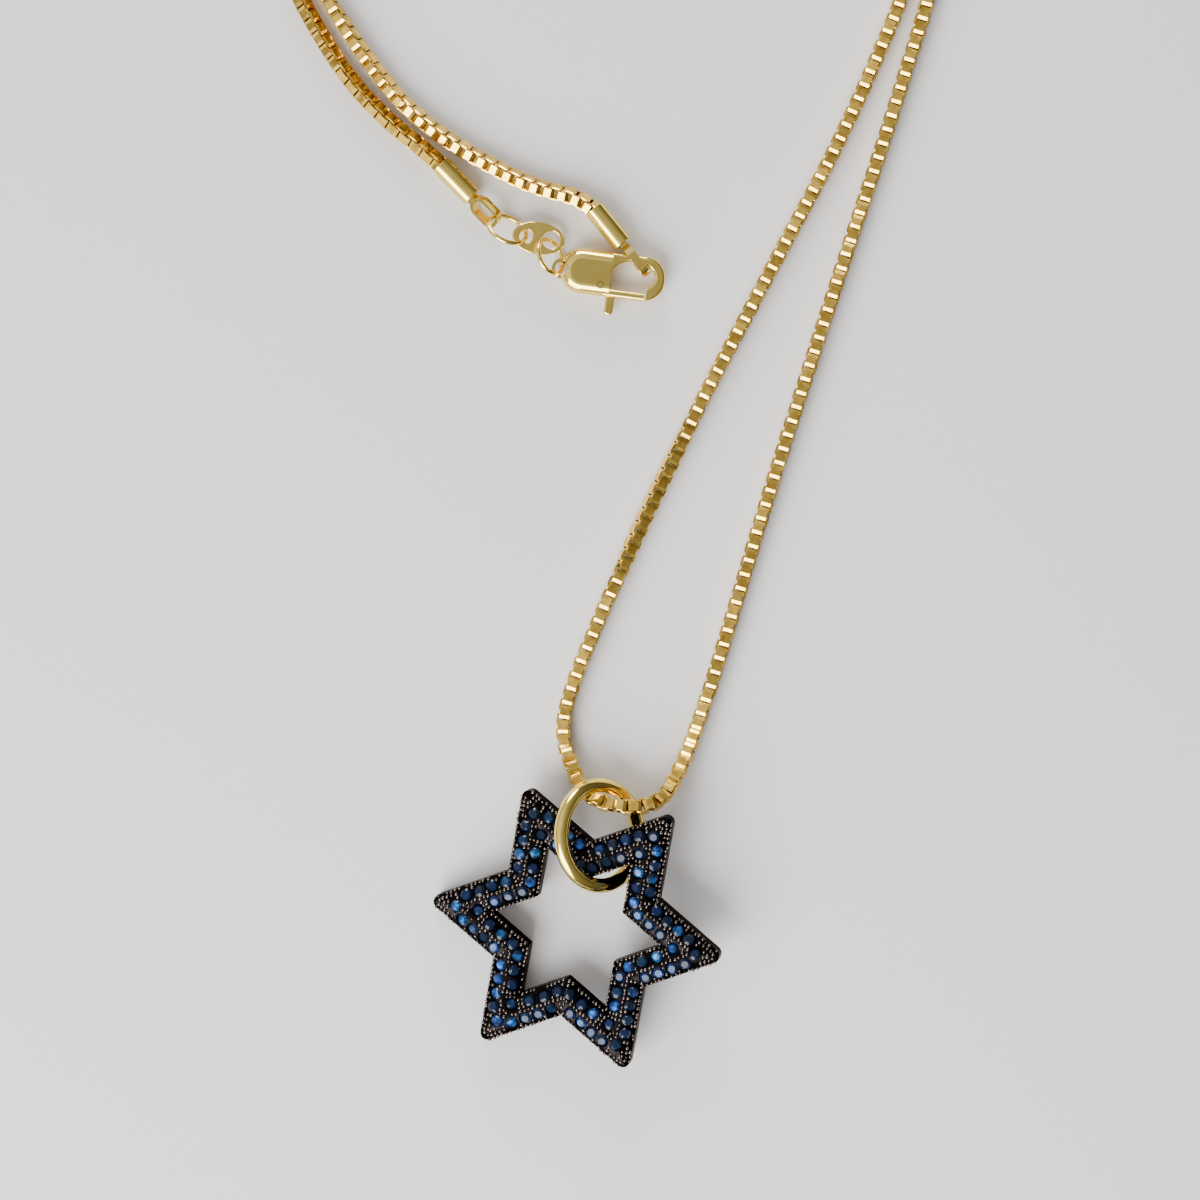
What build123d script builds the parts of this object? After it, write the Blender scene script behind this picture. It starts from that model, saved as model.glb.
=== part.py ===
"""A pave star pendant on a bail ring and a box chain with a claw clasp, lying as it was laid down.

Millimetres, +Z up, the surface it lies on is z = 0. The origin is on that surface under the middle of the star.
"""
from build123d import *
from math import atan2, cos, degrees, hypot, pi, radians, sin, sqrt, tan
import os

os.makedirs("parts", exist_ok=True)

# What everything rests on, and the gaps between pieces
floor_gap = 0.02          # lowest metal above the surface
fit_gap = 0.05            # between a piece and what it sits in
clear_gap = 0.10          # between pieces that pass each other

# The star: a band that follows a six-pointed outline, flat below and domed above
star_edge = 7.30          # from the centre to each outer side
band_width = 3.20
wall_height = 1.90        # the upright side walls
dome_rise = 0.60          # from the top of the walls to the band's crest
tip_round = 0.73
notch_round = 0.35        # inside corners of the six points of the opening
star_tilt = 9.0           # degrees, lifted by the bail ring under it
star_turn = 19.7          # degrees, the side of the star that is lifted
star_centre = (0.20, -0.03)

# The cut stones, in an inner and an outer row, with two more on each point's centre line
stone_diameter = 1.15
stone_pitch = 1.33
row_spacing = 1.46
table_share = 0.58        # the table's width to the stone's
crown_height = 0.17
girdle_height = 0.05
pavilion_height = 0.46
culet_width = 0.05
stone_proud = 0.10        # the table above the dome
seat_floor = 0.10         # the seat goes this much deeper than the stone
outer_row_start = 1.07    # first stone, from the corner between two points
outer_row_count = 4
inner_row_start = 0.74
inner_row_pitch = 1.42
inner_row_count = 3
point_stone_insets = (3.0, 5.15)  # the centre-line stones, from the sharp tip

# The bail ring: round wire, leaning on its lower side
bail_radius = 4.75        # to the middle of the wire
bail_wire = 1.42
bail_tilt = 40.0          # degrees
bail_axis = 95.5          # degrees, the level line it leans about
bail_centre = (2.22, 8.69)

# The box chain, as a round bar of its size across the corners of the links
chain_diameter = 1.70
strand_gap = 0.40         # between the two strands round the back
loop_centre = (3.3, 100.9)
loop_radius = 30.3        # of the inner strand round the back
loop_corners = 8
inner_headings = (66.0, 297.8)    # degrees, where the inner strand enters and leaves the loop
outer_headings = (71.2, 296.0)    # degrees
corner_share = 0.45       # of the shorter run next to a corner, taken by its bend
chain_rise = floor_gap + chain_diameter / 2
meeting_share = 0.42      # where the two halves meet, along the run inside the bail ring

# Route corners, chosen along the strands: plan place, and height where off the surface
left_strand = [
    (25.6, 75.5), (19.0, 63.4), (7.9, 42.2), (2.3, 29.5), (-0.55, 22.6), (-1.45, 18.9),
]
right_strand = [
    (11.75, 19.6), (14.3, 27.6), (17.6, 38.9), (24.4, 60.1), (29.6, 75.6),
]
through_ring = [
    (-0.8, 15.6, chain_rise), (0.95, 11.88, 2.6), (7.25, 10.90, 4.05), (9.9, 14.6, 1.3),
]
upper_strand = [(-19.0, 80.7), (-13.5, 75.4), (-6.9, 71.65), (-3.6, 70.2)]
lower_strand = [(-22.95, 81.9), (-17.9, 76.4)]

# The end caps: a tube that takes the chain's end, and a flat loop
cap_wall = 0.10
cap_tube = 4.35
cap_socket = 1.40
chain_in_cap = 1.20
cap_lead = (1.5, 1.2)     # from the last bend of the chain to the mouth, left cap and right cap
cap_neck = 0.20
cap_neck_width = 0.90
eye_lengths = (3.30, 3.60)  # left cap and right cap
eye_height = 2.10
eye_band = 0.80
eye_sheet = 0.32
left_cap_mouth = (-12.98, 72.41)
left_cap_heading = -46.0
left_cap_roll = -45.0
right_cap_from_nose = (-7.63, 6.02)  # along and across the clasp, from the middle of its nose
right_cap_heading = -51.0
right_cap_roll = 0.0
cap_rise = floor_gap + hypot(eye_height, eye_band) / 2  # clears the surface at any roll

# The two small rings and the tag between them
small_wire = 0.45
cap_ring_radius = 1.92
cap_ring_room = 0.30       # from the wire to the end of the eye, so that the ring can lie aslant
cap_ring_tilt = 50.0
clasp_ring_radius = 1.70
clasp_ring_tilt = 52.0
clasp_ring_hang = 0.10    # the ring pulls this far from the middle of the tag's hole
tag_lift = 0.20           # and the tag's right end lies this much higher than the ring there
tag_centre = (-3.67, 65.40)
tag_heading = -8.0
tag_length = 5.10
tag_width = 3.10
tag_sheet = 0.34
tag_edge = 0.12           # rounding of its rims
tag_holes = (1.25, 1.70)  # left and right
tag_hole_offset = 1.20

# The claw clasp, lying flat: u runs from its tail to its nose, v across
clasp_tail = (-2.4, 62.68)
clasp_heading = -7.6
clasp_length = 10.9
clasp_width = 4.30
clasp_depth = 2 * (cap_rise - floor_gap)
clasp_corner = 2.05
body_start = 0.85
body_rim = 0.10           # metal between the body's end and the opening
body_edge = 1.05          # rounding of the body
claw_depth = 1.20
claw_edge = 0.38          # rounding of the claw's outer side
claw_inner_edge = 0.22    # and of its opening
claw_opening = (4.10, 2.70)
claw_wall = 1.00          # metal at the nose
opening_shift = 0.12
tail_radius = 0.98
tail_hole = 1.30
tail_depth = 0.45
pivot_back = 0.95         # from the opening to the pin
pivot_in = 0.95           # from the clasp's side to the pin
pin_diameter = 0.60
lever_depth = 0.80
lever_gap = 0.08          # each side of the lever in its slot
lever_hub = 0.70
lever_edge = 0.18         # rounding of the hub and the tab
gate_from_nose = 1.80     # from the end of the gate to the clasp's end
nose_gap = 0.10           # between the gate and the nose
gate_width = 0.80
gate_edge = 0.34
gate_room = 0.60          # the slot goes this far into the body round the gate's root
tab_width = 0.90
tab_from_pivot = 1.05
tab_end_share = 0.45      # rounding of the tab's end, of its width
tab_reach = 1.30          # beyond the clasp's side
lever_open = 16.0         # degrees
slot_spare = 6.0          # degrees of slot beyond the lever's sweep


def turned(vector, degrees_round):
    a = radians(degrees_round)
    return (vector[0] * cos(a) - vector[1] * sin(a), vector[0] * sin(a) + vector[1] * cos(a))


def heading(degrees_round):
    return (cos(radians(degrees_round)), sin(radians(degrees_round)))


def along(point, direction, distance):
    return (point[0] + direction[0] * distance, point[1] + direction[1] * distance)


def prism(points, height, base=0.0):
    return extrude(Plane.XY.offset(base) * make_face(Polyline(*points, close=True)), amount=height)


def level_edges(solid):
    """The edges round the flat top and the flat underside."""
    rows = solid.edges().group_by(Axis.Z)
    return rows[-1] + rows[0]


# The star, first lying level at the origin with a notch of its outline on +X
half_band = band_width / 2
inner_edge = star_edge - band_width
crest_edge = star_edge - half_band
dome_radius = (half_band**2 + dome_rise**2) / (2 * dome_rise)
crest_height = wall_height + dome_rise
side_normal = heading(-30)
side_along = heading(60)
sharp_tip = star_edge / cos(radians(60))
section_plane = Plane(origin=(0, 0, 0), x_dir=(side_normal[0], side_normal[1], 0),
                      z_dir=(-side_along[0], -side_along[1], 0))
section_edges = [
    Line((inner_edge, 0), (star_edge, 0)),
    Line((star_edge, 0), (star_edge, wall_height)),
    ThreePointArc((star_edge, wall_height), (crest_edge, crest_height), (inner_edge, wall_height)),
    Line((inner_edge, wall_height), (inner_edge, 0)),
]
section = section_plane * make_face(Wire(section_edges))
bar = extrude(section, amount=sharp_tip, both=True)
far = 2 * sharp_tip
wedge = prism([(0, 0), (far, 0), (far * cos(radians(30)), far * sin(radians(30)))], 2 * crest_height, -1)
half_point = bar & wedge
mirror_plane = Plane(origin=(0, 0, 0), z_dir=(0, 1, 0))
pair = half_point.solids()[0].fuse(half_point.solids()[0].mirror(mirror_plane))
arms = [Rot(0, 0, 60 * k) * pair for k in range(6)]
band = arms[0].fuse(*arms[1:])


def star_outline(edge, rounding):
    corner = edge / cos(radians(30))
    tip = edge / cos(radians(60))
    points = []
    for k in range(6):
        points.append(tuple(corner * c for c in heading(60 * k)))
        points.append(tuple(tip * c for c in heading(60 * k + 30)))
    face = make_face(Polyline(*points, close=True))
    reach = (corner + tip) / 2
    tips = [v for v in face.vertices() if hypot(v.X, v.Y) > reach]
    return fillet(tips, rounding)


outline = star_outline(star_edge, tip_round) - star_outline(inner_edge, notch_round)
band = band & extrude(outline, amount=2 * crest_height)
band = band.solids()[0]

# One stone, table up at z = 0
octagon = RegularPolygon(stone_diameter / 2, 8)
table_face = RegularPolygon(stone_diameter / 2 * table_share, 8)
crown = loft([Plane.XY.offset(-crown_height) * octagon, table_face], ruled=True)
girdle = extrude(Plane.XY.offset(-crown_height - girdle_height) * octagon, amount=girdle_height)
culet_z = -crown_height - girdle_height - pavilion_height
culet_face = Plane.XY.offset(culet_z) * RegularPolygon(culet_width / 2, 8)
pavilion = loft([culet_face, Plane.XY.offset(-crown_height - girdle_height) * octagon], ruled=True)
stone = (crown + girdle + pavilion).solids()[0]
seat_radius = stone_diameter / 2 + fit_gap
seat_low = culet_z - seat_floor
seat_straight = crown_height + girdle_height + fit_gap
seat_profile = Polyline((0, 1), (seat_radius, 1), (seat_radius, -seat_straight),
                        (seat_radius * table_share, seat_low), (0, seat_low), close=True)
seat = revolve(Plane.XZ * make_face(seat_profile), Axis.Z)


def dome_height(offset):
    return wall_height + dome_rise - dome_radius + sqrt(dome_radius**2 - offset**2)


def stone_places():
    """Plan place and upward normal of each stone of one point, mirrored about its centre line."""
    places = []
    rows = (
        (crest_edge + row_spacing / 2, outer_row_start, stone_pitch, outer_row_count),
        (crest_edge - row_spacing / 2, inner_row_start, inner_row_pitch, inner_row_count),
    )
    for edge, start, pitch, count in rows:
        offset = edge - crest_edge
        lean = offset / dome_radius
        for k in range(count):
            run = edge * tan(radians(30)) + start + k * pitch
            x = edge * side_normal[0] + run * side_along[0]
            y = edge * side_normal[1] + run * side_along[1]
            normal = (side_normal[0] * lean, side_normal[1] * lean, sqrt(1 - lean**2))
            places.append(((x, y, dome_height(offset)), normal))
    centre_line = heading(30)
    for (x, y, z), (a, b, c) in list(places):
        share = 2 * (x * centre_line[0] + y * centre_line[1])
        lean = 2 * (a * centre_line[0] + b * centre_line[1])
        mirrored = (share * centre_line[0] - x, share * centre_line[1] - y, z)
        places.append((mirrored, (lean * centre_line[0] - a, lean * centre_line[1] - b, c)))
    for inset in point_stone_insets:
        reach = sharp_tip - inset
        offset = reach / 2 - crest_edge
        lean = offset / dome_radius / 2
        normal = (centre_line[0] * lean, centre_line[1] * lean, 1.0)
        places.append(((reach * centre_line[0], reach * centre_line[1], dome_height(offset)), normal))
    return places


stones = []
seats = []
for (x, y, z), normal in stone_places():
    across = (-sin(radians(30)), cos(radians(30)), 0)
    up = Vector(*normal).normalized()
    side = Vector(*across) - up * Vector(*across).dot(up)
    place = Plane(origin=Vector(x, y, z) + up * stone_proud, x_dir=side.normalized(), z_dir=up)
    for k in range(6):
        spot = Rot(0, 0, 60 * k) * place.location
        stones.append(spot * stone)
        seats.append(spot * seat)
band = band.cut(*[s.solids()[0] for s in seats]).solids()[0]
print("stones", len(stones))

lifted = heading(star_turn)
tilt_cos = cos(radians(star_tilt))
tilt_sin = sin(radians(star_tilt))
level = Plane(origin=(0, 0, 0), x_dir=(lifted[0] * tilt_cos, lifted[1] * tilt_cos, tilt_sin),
              z_dir=(-lifted[0] * tilt_sin, -lifted[1] * tilt_sin, tilt_cos)).location
star_lift = floor_gap - (level * band).bounding_box().min.Z
star_place = Pos(star_centre[0], star_centre[1], star_lift) * level
star_frame = star_place * band
pave = Compound([(star_place * s).solids()[0] for s in stones])
print("star lift", round(star_lift, 3), "top", round(star_frame.bounding_box().max.Z, 3))

# The bail ring
bail_rise = floor_gap + bail_wire / 2 + bail_radius * sin(radians(bail_tilt))
level_line = heading(bail_axis)
down_line = turned(level_line, -90)
bail_x = (down_line[0] * cos(radians(bail_tilt)), down_line[1] * cos(radians(bail_tilt)),
          -sin(radians(bail_tilt)))
bail_normal = Vector(*bail_x).cross(Vector(level_line[0], level_line[1], 0))
bail_plane = Plane(origin=(bail_centre[0], bail_centre[1], bail_rise), x_dir=bail_x, z_dir=bail_normal)
bail_ring = bail_plane.location * Torus(bail_radius, bail_wire / 2)


def ring_through(start, end, radius, tilt):
    """The place of a small ring through two plan points, its far side up, and its height at them."""
    chord = hypot(end[0] - start[0], end[1] - start[1])
    direction = ((end[0] - start[0]) / chord, (end[1] - start[1]) / chord)
    side = turned(direction, -90)
    offset = sqrt(radius**2 - (chord / 2)**2)
    flat = offset * cos(radians(tilt))
    middle = ((start[0] + end[0]) / 2 + side[0] * flat, (start[1] + end[1]) / 2 + side[1] * flat)
    rise = floor_gap + small_wire / 2 + radius * sin(radians(tilt))
    down = (-side[0] * cos(radians(tilt)), -side[1] * cos(radians(tilt)), -sin(radians(tilt)))
    normal = Vector(direction[0], direction[1], 0).cross(Vector(*down))
    plane = Plane(origin=(middle[0], middle[1], rise), x_dir=(direction[0], direction[1], 0), z_dir=normal)
    print("small ring centre", [round(c, 2) for c in (*middle, rise)])
    return plane.location, rise - offset * sin(radians(tilt))


def end_cap(mouth, direction_degrees, roll, eye_length):
    """A socketed tube with a flat loop; local x runs from the mouth to the loop's end."""
    tube_radius = chain_diameter / 2 + fit_gap + cap_wall
    tube = Plane.YZ * Circle(tube_radius)
    shell = extrude(tube, amount=cap_tube)
    rims = shell.edges().filter_by(GeomType.CIRCLE)
    shell = chamfer(rims, cap_wall / 2)
    socket = extrude(Plane.YZ * Circle(chain_diameter / 2 + fit_gap), amount=cap_socket)
    shell = shell - socket
    start = cap_tube + cap_neck
    loop_centre_x = start + eye_length / 2
    outer = Plane.XZ * Pos(loop_centre_x, 0, 0) * SlotOverall(eye_length, eye_height)
    inner = Plane.XZ * Pos(loop_centre_x, 0, 0) * SlotOverall(eye_length - 2 * eye_sheet,
                                                             eye_height - 2 * eye_sheet)
    loop = extrude(outer - inner, amount=eye_band / 2, both=True)
    neck = Pos(cap_tube - cap_wall, 0, 0) * Box(cap_neck + cap_wall + eye_sheet / 2, eye_band,
                                               cap_neck_width,
                                               align=(Align.MIN, Align.CENTER, Align.CENTER))
    cap = shell + neck + loop
    place = Pos(mouth[0], mouth[1], cap_rise) * Rot(0, 0, direction_degrees) * Rot(roll, 0, 0)
    return place * cap


# The clasp's own frame, and the right cap's place beside it
clasp_u = heading(clasp_heading)
clasp_v = turned(clasp_u, 90)
clasp_place = Pos(clasp_tail[0], clasp_tail[1], 0) * Rot(0, 0, clasp_heading)
cap_on_clasp = along(clasp_tail, clasp_u, clasp_length + right_cap_from_nose[0])
right_cap_mouth = along(cap_on_clasp, clasp_v, right_cap_from_nose[1])
left_direction = heading(left_cap_heading)
right_direction = heading(right_cap_heading)
end_cap_left = end_cap(left_cap_mouth, left_cap_heading, left_cap_roll, eye_lengths[0])
end_cap_right = end_cap(right_cap_mouth, right_cap_heading, right_cap_roll, eye_lengths[1])

# The places where the small rings pass
in_eye = cap_tube + cap_neck + eye_lengths[0] - eye_sheet - cap_ring_room - small_wire / 2
eye_point = along(left_cap_mouth, left_direction, in_eye)
tag_direction = heading(tag_heading)
tag_left = along(tag_centre, tag_direction, -tag_hole_offset)
tag_right = along(tag_centre, tag_direction, tag_hole_offset)
tail_point = along(clasp_tail, clasp_u, tail_radius)
to_tail = Vector(tail_point[0] - tag_right[0], tail_point[1] - tag_right[1]).normalized()
ring_in_tag = along(tag_right, (to_tail.X, to_tail.Y), clasp_ring_hang)
cap_ring_place, left_rise = ring_through(eye_point, tag_left, cap_ring_radius, cap_ring_tilt)
clasp_ring_place, right_rise = ring_through(ring_in_tag, tail_point, clasp_ring_radius, clasp_ring_tilt)
jump_ring_cap = cap_ring_place * Torus(cap_ring_radius, small_wire / 2)
jump_ring_clasp = clasp_ring_place * Torus(clasp_ring_radius, small_wire / 2)
ring_room = clasp_ring_place * Torus(clasp_ring_radius, small_wire / 2 + clear_gap)
print("heights at the tag's holes", round(left_rise, 2), round(right_rise, 2))

tag_right_rise = right_rise + tag_lift
tag_slope = degrees(atan2(left_rise - tag_right_rise, 2 * tag_hole_offset))
tag_face = Ellipse(tag_length / 2, tag_width / 2)
for place_x, width in zip((-tag_hole_offset, tag_hole_offset), tag_holes):
    tag_face = tag_face - Pos(place_x, 0) * Circle(width / 2)
tag = extrude(tag_face, amount=tag_sheet / 2, both=True)
tag = fillet(level_edges(tag), tag_edge)
tag_place = Pos(tag_centre[0], tag_centre[1], (left_rise + tag_right_rise) / 2)
oval_tag = tag_place * Rot(0, 0, tag_heading) * Rot(0, tag_slope, 0) * tag

# The clasp's body: a rounded block, the claw's flat loop and the tail eye, with a slot for the lever
middle_length = clasp_length - body_start
middle_u = body_start + middle_length / 2


def clasp_outline(inset):
    rounded = RectangleRounded(middle_length - 2 * inset, clasp_width - 2 * inset, clasp_corner - inset)
    return Pos(middle_u, 0) * rounded


opening_u = clasp_length - claw_wall - claw_opening[0] / 2
opening_start = opening_u - claw_opening[0] / 2
body_end = opening_start - body_rim
body_cut = Pos((body_start + body_end) / 2, 0) * Rectangle(body_end - body_start, clasp_width)
pillow = extrude(clasp_outline(0), amount=clasp_depth / 2, both=True)
pillow = fillet(level_edges(pillow), body_edge)
block = pillow & extrude(body_cut, amount=clasp_depth, both=True)
opening = Pos(opening_u, opening_shift) * Ellipse(claw_opening[0] / 2, claw_opening[1] / 2)
claw = extrude(clasp_outline(0), amount=claw_depth / 2, both=True)
claw = fillet(level_edges(claw), claw_edge)
claw = claw - extrude(opening, amount=clasp_depth, both=True)
rim = [e for e in level_edges(claw) if e.bounding_box().size.X < claw_opening[0] + clear_gap]
claw = fillet(rim, claw_inner_edge)
pivot = (opening_start - pivot_back, pivot_in - clasp_width / 2)
gate_end = clasp_length - gate_from_nose
tab_at = pivot[0] + tab_from_pivot
gate_start = pivot[0] + lever_hub / 2
tail_rise = right_rise - cap_rise
tail = Pos(tail_radius, 0, tail_rise) * Cylinder(tail_radius, tail_depth)
tail_cut = Pos(tail_radius, 0, tail_rise) * Cylinder(tail_hole / 2, clasp_depth * 2)
body = block + claw + tail - extrude(opening, amount=clasp_depth, both=True)


def lever_outlines(spare):
    """The lever's outlines grown by spare: hub, thumb tab, and gate along the claw's lower side."""
    low = -clasp_width / 2
    hub = Pos(*pivot) * Circle(lever_hub + spare)
    tab_size = (tab_width + 2 * spare, tab_reach + gate_width)
    tab = Pos(tab_at, low - tab_reach / 2) * RectangleRounded(*tab_size, tab_width * tab_end_share)
    gate = Pos((gate_start + gate_end) / 2, low + gate_width / 2)
    gate = gate * Rectangle(gate_end - gate_start + 2 * spare, gate_width + 2 * spare)
    return hub, tab, gate


gate_zone = extrude(Polygon(
    (body_end - gate_room, -clasp_width), (gate_end + nose_gap, -clasp_width),
    (gate_end + nose_gap, opening_shift), (body_end - gate_room, opening_shift), align=None),
    amount=claw_depth / 2 + lever_gap, both=True)
gate_strip = extrude(clasp_outline(0) - opening, amount=clasp_depth, both=True) & gate_zone
body = body - gate_strip
sweep_steps = 9
slot_parts = []
for k in range(sweep_steps + 1):
    swing = -slot_spare / sweep_steps + (lever_open + slot_spare) * k / sweep_steps
    for outline, depth in zip(lever_outlines(lever_gap), (lever_depth, lever_depth, claw_depth)):
        shape = extrude(outline, amount=depth / 2 + lever_gap, both=True)
        slot_parts.append(Pos(*pivot) * Rot(0, 0, swing) * Pos(-pivot[0], -pivot[1]) * shape)
body = body - slot_parts
body = body - tail_cut
body = body - (Pos(0, 0, -cap_rise) * clasp_place.inverse() * ring_room)  # where the ring passes under
pin_cut = Pos(pivot[0], pivot[1], 0) * Cylinder(pin_diameter / 2 + fit_gap, 2 * clasp_depth)
body = body - pin_cut
print("clasp body solids", len(body.solids()))
hub_outline, tab_outline, gate_outline = lever_outlines(0)
hub_disc = extrude(hub_outline, amount=lever_depth / 2, both=True)
tab_bar = extrude(tab_outline, amount=lever_depth / 2, both=True)
gate_bar = extrude(gate_outline, amount=claw_depth / 2, both=True)
hub_disc = fillet(level_edges(hub_disc), lever_edge)
tab_bar = fillet(level_edges(tab_bar), lever_edge)
gate_bar = fillet(gate_bar.edges().filter_by(Axis.X), gate_edge)
lever = hub_disc + tab_bar + gate_bar
lever = lever - Pos(pivot[0], pivot[1], 0) * Cylinder(pin_diameter / 2 + fit_gap, 2 * clasp_depth)
lever = lever - extrude(opening, amount=clasp_depth, both=True)
pin = Pos(pivot[0], pivot[1], 0) * Cylinder(pin_diameter / 2, clasp_depth - 2 * fit_gap)
clasp_up = Pos(0, 0, cap_rise)
clasp_body = clasp_place * clasp_up * body
clasp_lever = clasp_place * clasp_up * lever
clasp_pin = clasp_place * clasp_up * pin


def loop_points(radius, headings):
    """The corners of the strand round the back, outside its circle."""
    turn = (headings[1] - headings[0]) / loop_corners
    reach = radius / cos(radians(turn / 2))
    points = []
    for k in range(loop_corners):
        direction = heading(headings[0] - 90 + turn * (k + 0.5))
        points.append(along(loop_centre, direction, reach))
    return points


def strand(name, points):
    """Sweeps the chain's section along straight runs joined by tangent bends."""
    points = [Vector(*p) for p in points]
    runs = [(b - a).length for a, b in zip(points, points[1:])]
    radii = []
    for k in range(1, len(points) - 1):
        before = points[k] - points[k - 1]
        after = points[k + 1] - points[k]
        half_turn = radians(before.get_angle(after)) / 2
        radii.append(corner_share * min(runs[k - 1], runs[k]) / tan(half_turn))
    path = FilletPolyline(*points, radius=radii)
    section = Plane(origin=path @ 0, z_dir=path % 0) * Circle(chain_diameter / 2)
    swept = sweep(section, path=path)
    expected = pi * chain_diameter**2 / 4 * path.length
    print(name, "length", round(path.length, 1), "volume share", round(swept.volume / expected, 4))
    print(name, "runs", [round(r, 1) for r in runs])
    print(name, "radii", [round(r, 1) for r in radii])
    print(name, "lowest", round(swept.bounding_box().min.Z, 3))
    return swept


def on_floor(points):
    return [(x, y, chain_rise) for x, y in points]


def into_cap(mouth, direction, lead):
    """The last bend before a cap, and the chain's end inside it."""
    return [(*along(mouth, direction, -lead), cap_rise), (*along(mouth, direction, chain_in_cap), cap_rise)]


run_start = Vector(*through_ring[1])
run_end = Vector(*through_ring[2])
run = run_end - run_start
meeting = run_start + run * meeting_share
left_end = meeting - run.normalized() * (fit_gap / 2)
right_start = meeting + run.normalized() * (fit_gap / 2)
outer_radius = loop_radius + chain_diameter + strand_gap
left_route = (
    [tuple(left_end)] + through_ring[1::-1] + on_floor(left_strand[::-1])
    + on_floor(loop_points(loop_radius, inner_headings)) + on_floor(upper_strand)
    + into_cap(right_cap_mouth, right_direction, cap_lead[1])
)
right_route = (
    [tuple(right_start)] + through_ring[2:] + on_floor(right_strand)
    + on_floor(loop_points(outer_radius, outer_headings)) + on_floor(lower_strand)
    + into_cap(left_cap_mouth, left_direction, cap_lead[0])
)
chain_left = strand("chain_left", left_route)
chain_right = strand("chain_right", right_route)

nodes = {
    "star_frame": star_frame, "pave_stones": pave, "bail_ring": bail_ring, "chain_left": chain_left,
    "chain_right": chain_right, "end_cap_left": end_cap_left, "end_cap_right": end_cap_right,
    "jump_ring_cap": jump_ring_cap, "oval_tag": oval_tag, "jump_ring_clasp": jump_ring_clasp,
    "clasp_body": clasp_body, "clasp_lever": clasp_lever, "clasp_pin": clasp_pin,
}
for name, shape in nodes.items():
    export_step(shape, f"parts/{name}.step")
print("written", len(nodes))
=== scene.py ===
# %% [markdown]
# # A pave star pendant on a box chain
#
# Sizes in this file are in millimetres, and each mesh is brought to metres when it is made.

# %% Load the frame
import bpy
import numpy as np
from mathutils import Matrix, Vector


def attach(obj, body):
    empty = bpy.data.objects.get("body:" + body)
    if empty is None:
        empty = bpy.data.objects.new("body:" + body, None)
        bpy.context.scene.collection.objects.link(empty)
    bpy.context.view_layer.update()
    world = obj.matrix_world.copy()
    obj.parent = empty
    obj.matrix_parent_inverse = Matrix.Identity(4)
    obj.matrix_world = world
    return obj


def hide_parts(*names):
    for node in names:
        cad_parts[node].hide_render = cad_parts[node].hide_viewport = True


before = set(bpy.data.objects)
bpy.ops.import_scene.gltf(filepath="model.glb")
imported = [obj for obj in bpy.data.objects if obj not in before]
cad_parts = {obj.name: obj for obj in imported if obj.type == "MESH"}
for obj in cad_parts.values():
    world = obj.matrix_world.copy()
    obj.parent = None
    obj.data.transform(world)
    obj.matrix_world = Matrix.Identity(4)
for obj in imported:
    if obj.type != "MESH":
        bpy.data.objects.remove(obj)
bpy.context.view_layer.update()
MM = 0.001
rng = np.random.default_rng(7)

# %% [markdown]
# ## Camera
#
# The photograph was taken from straight above. Its distance isn't known, so the camera stands 350 mm
# up, which gives a mild perspective, and its picture is 114.7 mm wide on the surface. A camera that
# isn't turned looks straight down, with +Y at the top of the picture.

# %% Camera
picture_middle = (2.2, 30.94)
picture_width = 114.7
camera_height = 350.0
sensor_width = 36.0
camera_data = bpy.data.cameras.new("camera")
camera_data.sensor_width = sensor_width
camera_data.lens = sensor_width * camera_height / picture_width
camera_data.clip_start = 0.01
camera_data.clip_end = 5.0
camera = bpy.data.objects.new("camera", camera_data)
camera.location = np.array([*picture_middle, camera_height]) * MM
bpy.context.scene.collection.objects.link(camera)
bpy.context.scene.camera = camera
print("lens", round(camera_data.lens, 1))

# %% [markdown]
# ## Meshes from arrays
#
# Every new piece is a surface worked out as whole arrays. They could be modelled by hand or with
# modifiers, but a formula keeps each size exact and easy to change. A mesh takes three arrays: its
# points, the corners of its faces one face after another, and how many corners each face has.

# %% A mesh from arrays
def make_piece(name, points, faces, smooth_angle=None):
    """A mesh object from points and a pair of arrays, all faces' corners in order and each face's
    number of corners. Edges sharper than smooth_angle degrees stay sharp; with none, faces are flat."""
    corners, sides = faces
    mesh = bpy.data.meshes.new(name)
    mesh.vertices.add(points.size // 3)
    mesh.vertices.foreach_set("co", points.ravel())
    mesh.loops.add(len(corners))
    mesh.loops.foreach_set("vertex_index", corners)
    mesh.polygons.add(len(sides))
    mesh.polygons.foreach_set("loop_start", np.cumsum(sides) - sides)
    mesh.update(calc_edges=True)
    if smooth_angle is None:
        mesh.shade_flat()
    else:
        mesh.shade_smooth()
        mesh.set_sharp_from_angle(angle=np.radians(smooth_angle))
    piece = bpy.data.objects.new(name, mesh)
    bpy.context.scene.collection.objects.link(piece)
    print(name, "faces", len(mesh.polygons))
    return piece

# %% [markdown]
# ### One shape, many copies
#
# A tube or a ring is a grid of points with two parameters. A shape that is repeated, such as a chain
# link, is one small set of points that arrays of axes turn and arrays of places move, so one mesh
# holds all the copies.

# %% Grids and copies
def grid_faces(rows, columns):
    """Quads of a grid that closes on itself both ways: a point, the one in the next row, the one past
    both, and the one in the next column, in the order that makes them face outwards."""
    i, j = np.meshgrid(np.arange(rows), np.arange(columns), indexing="ij")
    next_i = (i + 1) % rows
    next_j = (j + 1) % columns
    quad = [i * columns + j, next_i * columns + j, next_i * columns + next_j, i * columns + next_j]
    return np.stack(quad, axis=-1).reshape(-1, 4)


def repeat_faces(faces, point_count, times=1):
    """The faces of one shape for all its copies: each copy's corners are the shape's corners plus the
    number of points in the copies before it."""
    corners = np.concatenate(faces) + point_count * np.arange(times)[:, None]
    sides = np.array([len(face) for face in faces])
    return corners.ravel(), np.tile(sides, times)


def unit(v):
    """Vectors divided by their own lengths."""
    return v / np.linalg.norm(v, axis=-1, keepdims=True)


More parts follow.
